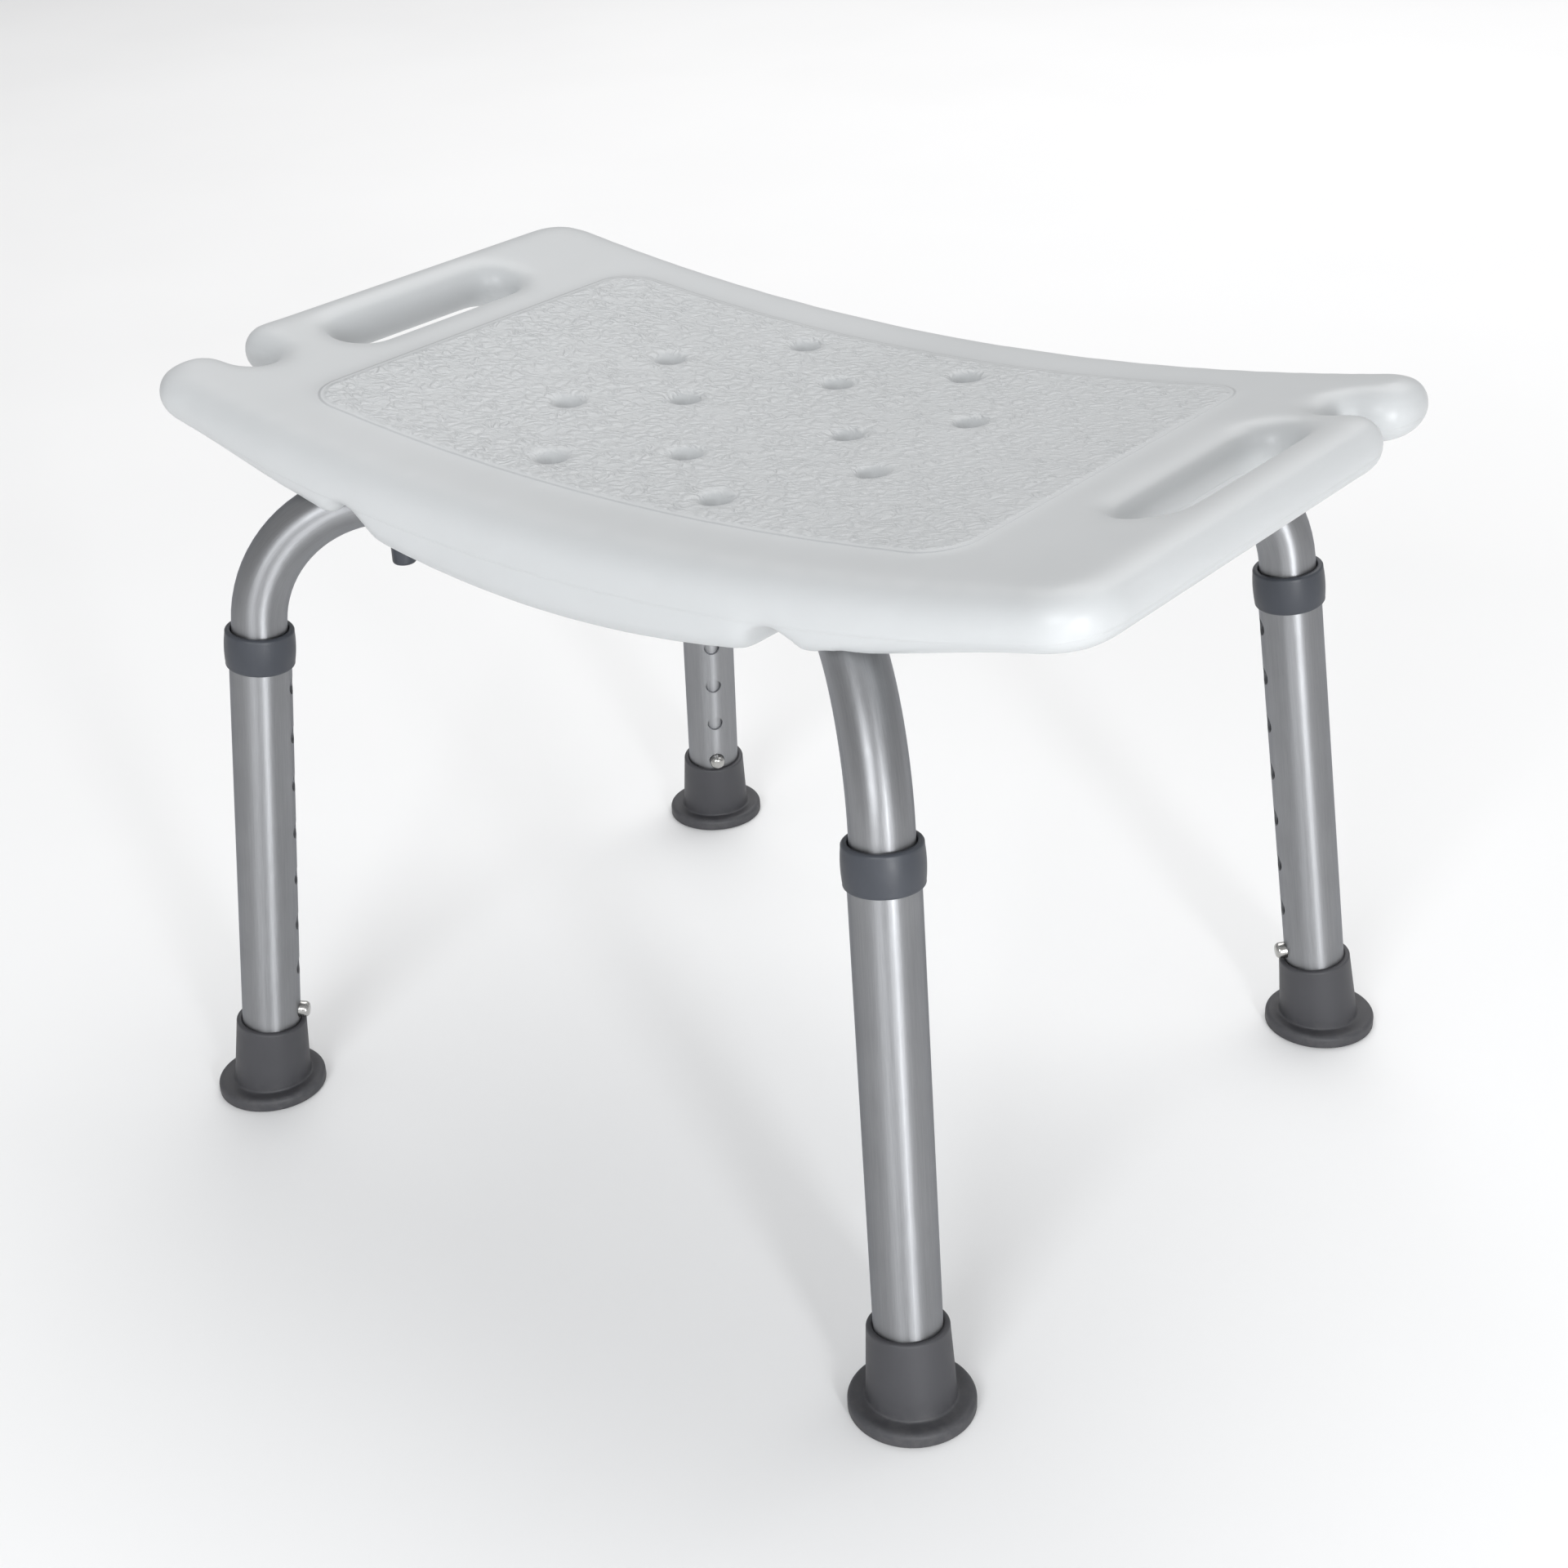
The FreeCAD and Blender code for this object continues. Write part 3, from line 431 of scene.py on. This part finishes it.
def collar_profile():
    """Closed loop: lower edge, swollen side, rounded lip, bore and the step over the leg tube."""
    parts = [
        np.array([[14.35, COLLAR_LOW + 0.5]]),
        arc((14.85, COLLAR_LOW + 0.5), 0.5, 180, 270, 4),
        arc((14.7, COLLAR_LOW + 1.2), 1.2, 270, 350, 7),
        barrel(15.88, 0.42, COLLAR_LOW + 1.8, COLLAR_HIGH - 2.3, 15),
        arc((14.4, COLLAR_HIGH - 1.5), 1.5, 15, 88, 8),
        arc((13.95, COLLAR_HIGH - 0.75), 0.75, 92, 178, 5),
        np.array([[13.2, COLLAR_HIGH - 2.0], [13.2, TUBE_TOP + 0.25], [14.35, TUBE_TOP + 0.05]]),
    ]
    return np.concatenate(parts) * MM


def turned_round_leg(place, profile, columns):
    """Point = foot + up times height + radius times (inward times cos + sideways times sin)."""
    foot, up, inward, side = leg_axes(place)
    angle = np.linspace(0, 2 * math.pi, columns, endpoint=False)
    round_leg = np.cos(angle)[:, None] * inward + np.sin(angle)[:, None] * side
    points = foot + profile[:, 1, None, None] * up + profile[:, 0, None, None] * round_leg
    return points.reshape(-1, 3)


for place in PLACES:
    profile = collar_profile()
    collar = make_piece("collar_ring_" + place, turned_round_leg(place, profile, 96),
                        grid_faces(len(profile), 96, True), grey_plastic)
    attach(collar, "leg_" + place)
    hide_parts("collar_" + place)

# %% [markdown]
# ## The rubber feet
# A foot stands flat on the floor although its leg leans, so its flange is level and its sleeve is
# tilted.  The same profile idea works if every point also says how far it follows the leg: 0 for the
# flange and 1 for the sleeve.  Where they meet, the sleeve's rows are trimmed to one level height.

# %% Foot profile: radius, height, how far it follows the leg, and whether it is trimmed
def foot_profile():
    """Rows of (radius, height, share, trim): treads, flange, sleeve, rim, bore and its floor.

    A trimmed row lies on the leaning sleeve but at one level height, where it meets the flange.
    """
    rows = [(0.0, 0.0, 0.0)]
    for ring in (8.0, 15.0, 22.0):
        rows += [(ring - 0.95, 0.0, 0), (ring - 0.8, 0.15, 0), (ring - 0.6, 1.15, 0), (ring + 0.6, 1.15, 0),
                 (ring + 0.8, 0.15, 0), (ring + 0.95, 0.0, 0)]
    rows += [(r, h, 0.0) for r, h in arc((25.7, 0.9), 0.9, 270, 350, 5)]
    rows += [(r, h, 0.0) for r, h in arc((24.2, 4.0), 2.4, 0, 80, 8)]
    rows = [row + (0,) if len(row) == 3 else row for row in rows]
    rows += [(23.4, 6.4, 0, 0), (21.6, 6.3, 0, 0)]
    rows += [(r, h, 1, 1) for r, h in ((19.9, 6.2), (19.3, 6.3), (18.95, 6.6), (18.8, 7.2))]
    heights = np.linspace(11.0, 37.6, 9)
    rows += [(18.6 - 1.4 * (h - 11.0) / 26.6, h, 1.0) for h in heights]
    rows += [(r, h, 1.0) for r, h in arc((15.9, 38.2), 1.3, 0, 90, 7)]
    rows += [(r, h, 1.0) for r, h in arc((15.3, 38.6), 0.9, 90, 178, 5)]
    rows += [(14.36, 36.0, 1.0), (14.36, 8.42, 1.0), (13.0, 8.40, 1.0), (0.0, 8.40, 1.0)]
    return np.array([row + (0,) if len(row) == 3 else row for row in rows], dtype=float)


def foot_points(place, rows, columns):
    """Level point and leaning point of each row and angle, mixed by the row's share."""
    foot, up, inward, side = leg_axes(place)
    angle = np.linspace(0, 2 * math.pi, columns, endpoint=False)
    level_in = np.array([inward[0], inward[1], 0.0]) / np.hypot(inward[0], inward[1])
    level = np.cos(angle)[:, None] * level_in + np.sin(angle)[:, None] * side
    lean = np.cos(angle)[:, None] * inward + np.sin(angle)[:, None] * side
    radius, height = rows[:, 0, None, None] * MM, rows[:, 1, None, None] * MM
    share, trim = rows[:, 2, None, None], rows[:, 3, None, None]
    trimmed = (height - radius * np.cos(angle)[:, None] * inward[2]) / up[2]
    flat = foot + height * np.array([0.0, 0.0, 1.0]) + radius * level
    tilted = foot + (height + trim * (trimmed - height)) * up + radius * lean
    return (flat + share * (tilted - flat)).reshape(-1, 3)


for place in PLACES:
    rows = foot_profile()
    tip = make_piece("foot_tip_" + place, foot_points(place, rows, 96),
                     grid_faces(len(rows), 96, False), rubber)
    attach(tip, "leg_" + place)
    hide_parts("rubber_foot_" + place)

# %% [markdown]
# ## The seat's skin
# The board was blown from a tube of soft plastic inside a mould, so no edge on it is crisp: the rim,
# the drains and the step of the raised panel all flow.  The engineered board gives the exact outline.
# Its outer skin is copied, rebuilt with an even mesh, and then relaxed: every point moves towards the
# average of its neighbours, much on the rim and little on the panel, where the drains have to stay.

# %% The outer skin of the engineered board
def outer_skin(node):
    """Merged copy of a node's mesh that keeps only the largest of its separate skins."""
    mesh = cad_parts[node].data.copy()
    work = bmesh.new()
    work.from_mesh(mesh)
    bmesh.ops.remove_doubles(work, verts=work.verts, dist=2e-6)
    work.verts.index_update()
    ends = np.array([[e.verts[0].index, e.verts[1].index] for e in work.edges])
    label = np.arange(len(work.verts))
    while True:
        low = np.minimum(label[ends[:, 0]], label[ends[:, 1]])
        new = label.copy()
        np.minimum.at(new, ends[:, 0], low)
        np.minimum.at(new, ends[:, 1], low)
        new = new[new]
        if np.array_equal(new, label):
            break
        label = new
    height = np.array([v.co.x for v in work.verts])
    names = np.unique(label)
    spans = [np.ptp(height[label == name]) for name in names]
    keep = names[int(np.argmax(spans))]
    work.verts.ensure_lookup_table()
    bmesh.ops.delete(work, geom=[v for v in work.verts if label[v.index] != keep], context="VERTS")
    work.to_mesh(mesh)
    work.free()
    print(node, "skins", len(names), "kept", len(mesh.vertices), "points")
    return mesh


# %% An even mesh, relaxed
PANEL_HALF = np.array([178.0, 111.0]) * MM
PANEL_CORNER = 20.0 * MM
SLOT_X, SLOT_Y = 219.0 * MM, 7.0 * MM
SLOT_HALF, SLOT_RADIUS = 44.0 * MM, 13.0 * MM
HOOK_X, HOOK_Y = 236.0 * MM, 94.0 * MM
RIM_PULL = 0.9
VOXEL = 2.2 * MM


def evenly_meshed(mesh, voxel):
    """The same skin rebuilt from equal small squares."""
    holder = bpy.data.objects.new("holder", mesh)
    bpy.context.scene.collection.objects.link(holder)
    remesh = holder.modifiers.new("even", "REMESH")
    remesh.mode = "VOXEL"
    remesh.voxel_size = voxel
    depsgraph = bpy.context.evaluated_depsgraph_get()
    even = bpy.data.meshes.new_from_object(holder.evaluated_get(depsgraph))
    bpy.data.objects.remove(holder)
    return even


def outside_panel(points):
    """0 inside the raised panel, 1 from 8 mm outside it: distance to a box with rounded corners."""
    beyond = np.maximum(np.abs(points[:, :2]) - (PANEL_HALF - PANEL_CORNER), 0)
    distance = np.hypot(beyond[:, 0], beyond[:, 1]) - PANEL_CORNER
    return np.clip(distance / (8 * MM), 0, 1)


def near_slots(points):
    """1 at a hand slot, 0 from 22 mm away: distance to the slot's middle line, less its half width."""
    along = np.maximum(np.abs(points[:, 1] - SLOT_Y) - SLOT_HALF, 0)
    distance = np.hypot(np.abs(points[:, 0]) - SLOT_X, along) - SLOT_RADIUS
    return 1 - np.clip(distance / (22 * MM), 0, 1)


def relaxed(mesh, rounds, least):
    """Each round moves a point part of the way to its neighbours' average, least on the panel."""
    points = np.empty(len(mesh.vertices) * 3)
    mesh.vertices.foreach_get("co", points)
    points = points.reshape(-1, 3)
    ends = np.empty(len(mesh.edges) * 2, dtype=np.int64)
    mesh.edges.foreach_get("vertices", ends)
    ends = ends.reshape(-1, 2)
    a, b = np.concatenate([ends[:, 0], ends[:, 1]]), np.concatenate([ends[:, 1], ends[:, 0]])
    count = np.bincount(a, minlength=len(points))[:, None]
    rim = RIM_PULL + (1 - RIM_PULL) * near_slots(points)
    notch = np.array([HOOK_X, HOOK_Y]) * np.where(points[:, :1] > 0, 1, -1)
    away = np.hypot(points[:, 0] - notch[:, 0], points[:, 1] - notch[:, 1])
    rim = rim * np.clip(0.3 + 0.7 * (away - 22 * MM) / (16 * MM), 0.3, 1)
    pull = (least + (rim - least) * outside_panel(points))[:, None] * 0.5
    for _ in range(rounds):
        total = np.stack([np.bincount(a, weights=points[b, k], minlength=len(points)) for k in range(3)],
                         axis=-1)
        points = points + pull * (total / count - points)
    mesh.vertices.foreach_set("co", points.ravel())
    mesh.update()
    return mesh


# %% [markdown]
# ## The seat's finish
# The plastic is a pale cool grey with a satin sheen.  Two textures came off the mould: a very fine
# grain everywhere, and on the raised panel a leather-like grain whose wrinkles run along the seat,
# which gives grip when wet.  The wrinkles are the borders of stretched, wavy cells.

# %% Satin grey board plastic with its gripping panel
SEAM_Z = 313.0 * MM


def board_plastic(name):
    """Pale plastic: leather wrinkles inside the panel's outline with painted shade in their creases, fine grain and
    soft waves outside.
    """
    finish = Finish(name, IOR=1.5)
    where = finish.place()
    x, y, z = finish.split(where)
    beyond = []
    for axis, half in ((x, PANEL_HALF[0]), (y, PANEL_HALF[1])):
        edge = finish.math("SUBTRACT", finish.math("ABSOLUTE", axis), float(half - PANEL_CORNER))
        beyond.append(finish.math("MAXIMUM", edge, 0.0))
    distance = finish.vector("LENGTH", finish.join(beyond[0], beyond[1], 0.0), (0, 0, 0), value=True)
    inside = finish.remap(distance, float(PANEL_CORNER - 0.004), float(PANEL_CORNER - 0.0015), 1.0, 0.0)
    facing = finish.split(finish.tree.nodes.new("ShaderNodeNewGeometry").outputs["Normal"])[2]
    panel = finish.math("MULTIPLY", inside, finish.remap(facing, 0.55, 0.8))

    drift = finish.noise(where, 75.0, 2.0, 0.5)
    shift = finish.math("MULTIPLY", finish.math("SUBTRACT", drift, 0.5), 0.016)
    streak_at = finish.join(finish.math("MULTIPLY", x, 0.55), finish.math("ADD", y, shift), 0.0)
    wrinkle = finish.remap(finish.cells(streak_at, 260.0), 0.0, 0.34)
    crumple = finish.noise(finish.join(finish.math("MULTIPLY", x, 0.62), y, 0.0), 330.0, 3.0, 0.55, 0.8)
    leather = finish.math("ADD", finish.math("MULTIPLY", wrinkle, 0.45), finish.math("MULTIPLY", crumple, 0.65))
    leather = finish.math("MULTIPLY", leather, panel)
    step = finish.remap(distance, float(PANEL_CORNER - 0.0010), float(PANEL_CORNER + 0.0006), 1.0, 0.0)
    step = finish.math("MULTIPLY", step, finish.remap(facing, 0.55, 0.8))

    bottom = finish.math("MULTIPLY", finish.math("MULTIPLY", x, x), 0.46)
    seam = finish.math("ABSOLUTE", finish.math("SUBTRACT", finish.math("SUBTRACT", z, SEAM_Z), bottom))
    upright = finish.remap(finish.math("ABSOLUTE", facing), 0.25, 0.45, 1.0, 0.0)
    seam = finish.math("MULTIPLY", finish.remap(seam, 0.0, 0.0007, 1.0, 0.0), upright)

    fine = finish.noise(where, 1500.0, 3.0, 0.6)
    waves = finish.noise(where, 13.0, 2.0, 0.4)
    clouds = finish.noise(where, 6.0, 4.0, 0.6)
    specks = finish.remap(finish.noise(where, 520.0, 4.0, 0.7), 0.68, 0.78)
    scuff_at = finish.vector("MULTIPLY", where, (6.0, 60.0, 20.0))
    scuff = finish.remap(finish.noise(scuff_at, 5.0, 5.0, 0.7), 0.62, 0.74)

    colour = finish.blend(finish.remap(clouds, 0.3, 0.7), (0.520, 0.534, 0.540, 1), (0.550, 0.563, 0.570, 1))
    colour = finish.blend(finish.math("MULTIPLY", specks, 0.08), colour, (0.45, 0.45, 0.44, 1))
    # Painted shade: the board's colour is darkened along the leather wrinkles inside the panel, standing in for shade
    # in their creases.
    painted_crease_shade = finish.math("MULTIPLY", finish.math("SUBTRACT", 1.0, wrinkle), panel)
    colour = finish.blend(finish.math("MULTIPLY", painted_crease_shade, 0.14), colour, (0.46, 0.475, 0.48, 1))
    rough = finish.remap(clouds, 0.3, 0.7, 0.37, 0.43)
    rough = finish.math("ADD", rough, finish.math("MULTIPLY", scuff, 0.07))
    rough = finish.math("ADD", rough, finish.math("MULTIPLY", panel, 0.04))
    surface = finish.bump(waves, 0.0012, 0.25)
    surface = finish.bump(fine, 0.00004, 0.5, under=surface)
    surface = finish.bump(seam, 0.0002, 0.6, under=surface)
    surface = finish.bump(step, 0.0008, 0.9, under=surface)
    return finish.wear(colour, rough, finish.bump(leather, 0.0010, 0.9, under=surface))


# %% The finished board
skin = relaxed(evenly_meshed(outer_skin("seat_board"), VOXEL), 22, 0.04)
skin.name = "seat_skin"
skin.shade_smooth()
skin.materials.clear()
skin.materials.append(board_plastic("board_grey"))
seat = bpy.data.objects.new("seat_skin", skin)
bpy.context.scene.collection.objects.link(seat)
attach(seat, "frame")
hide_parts("seat_board")
skin.calc_loop_triangles()
print("seat skin", len(skin.vertices), "points", len(skin.loop_triangles), "triangles")

# %% [markdown]
# ## Floor, light and camera
# The stool stands on a plain pale floor in soft light.  A wide lamp in front lights the
# long flank, a tall narrow one on the right draws a streak down each tube, a broad one above keeps
# the floor even, and a pale sky lifts every shadow.

# %% Pale floor
def floor_finish():
    """Matt pale floor with a trace of tone, so that it doesn't look cut from paper."""
    finish = Finish("pale_floor")
    clouds = finish.noise(finish.place(), 3.0, 3.0, 0.5)
    colour = finish.blend(clouds, (0.90, 0.90, 0.90, 1), (0.93, 0.93, 0.93, 1))
    return finish.wear(colour, finish.remap(clouds, 0.3, 0.7, 0.75, 0.85), None)


reach = 8.0
floor_mesh = bpy.data.meshes.new("floor")
corners = [(-reach, -reach, 0), (reach, -reach, 0), (reach, reach, 0), (-reach, reach, 0)]
floor_mesh.from_pydata(corners, [], [(0, 1, 2, 3)])
floor_mesh.materials.append(floor_finish())
floor = bpy.data.objects.new("floor", floor_mesh)
bpy.context.scene.collection.objects.link(floor)


# %% Soft studio light
def soft_lamp(name, place, target, size, power, tint):
    """A lamp of the given width and height, pointing at the target and hidden from the camera itself."""
    lamp = bpy.data.lights.new(name, "AREA")
    lamp.shape = "RECTANGLE"
    lamp.size, lamp.size_y = size
    lamp.energy, lamp.color = power, tint
    holder = bpy.data.objects.new(name, lamp)
    holder.location = place
    holder.rotation_euler = (Vector(target) - Vector(place)).to_track_quat("-Z", "Y").to_euler()
    holder.visible_camera = False
    bpy.context.scene.collection.objects.link(holder)


soft_lamp("key", (0.75, -2.25, 1.2), (0, 0, 0.2), (0.9, 0.9), 24.0, (0.97, 0.985, 1.0))
soft_lamp("strip", (1.85, -1.15, 0.40), (0, 0, 0.2), (0.22, 0.8), 24.0, (0.97, 0.985, 1.0))
soft_lamp("roof", (-0.6, 2.2, 3.2), (-0.3, 1.2, 0), (4.0, 3.0), 85.0, (1.0, 0.995, 0.99))
sky = bpy.data.worlds.new("sky")
bpy.context.scene.world = sky
sky.use_nodes = True
sky.node_tree.nodes["Background"].inputs["Color"].default_value = (0.985, 0.99, 1.0, 1)
sky.node_tree.nodes["Background"].inputs["Strength"].default_value = 0.50
bpy.context.scene.view_settings.view_transform = "Standard"

# %% Camera
lens = bpy.data.cameras.new("camera")
lens.sensor_width = 36.0
lens.lens = 55.79
lens.shift_x, lens.shift_y = 0.0338, 0.0242
azimuth, elevation, roll = math.radians(41.421), math.radians(28.603), math.radians(-3.547)
back = Vector((math.sin(azimuth) * math.cos(elevation), -math.cos(azimuth) * math.cos(elevation), math.sin(elevation)))
level = Vector((math.cos(azimuth), math.sin(azimuth), 0))
upright = back.cross(level)
right = level * math.cos(roll) + upright * math.sin(roll)
top = upright * math.cos(roll) - level * math.sin(roll)
turn = Matrix((right, top, back)).transposed().to_4x4()
camera = bpy.data.objects.new("camera", lens)
camera.matrix_world = Matrix.Translation((0.656831, -0.783086, 0.690774)) @ turn
bpy.context.scene.collection.objects.link(camera)
bpy.context.scene.camera = camera
print("camera at", [round(v, 3) for v in camera.matrix_world.translation])
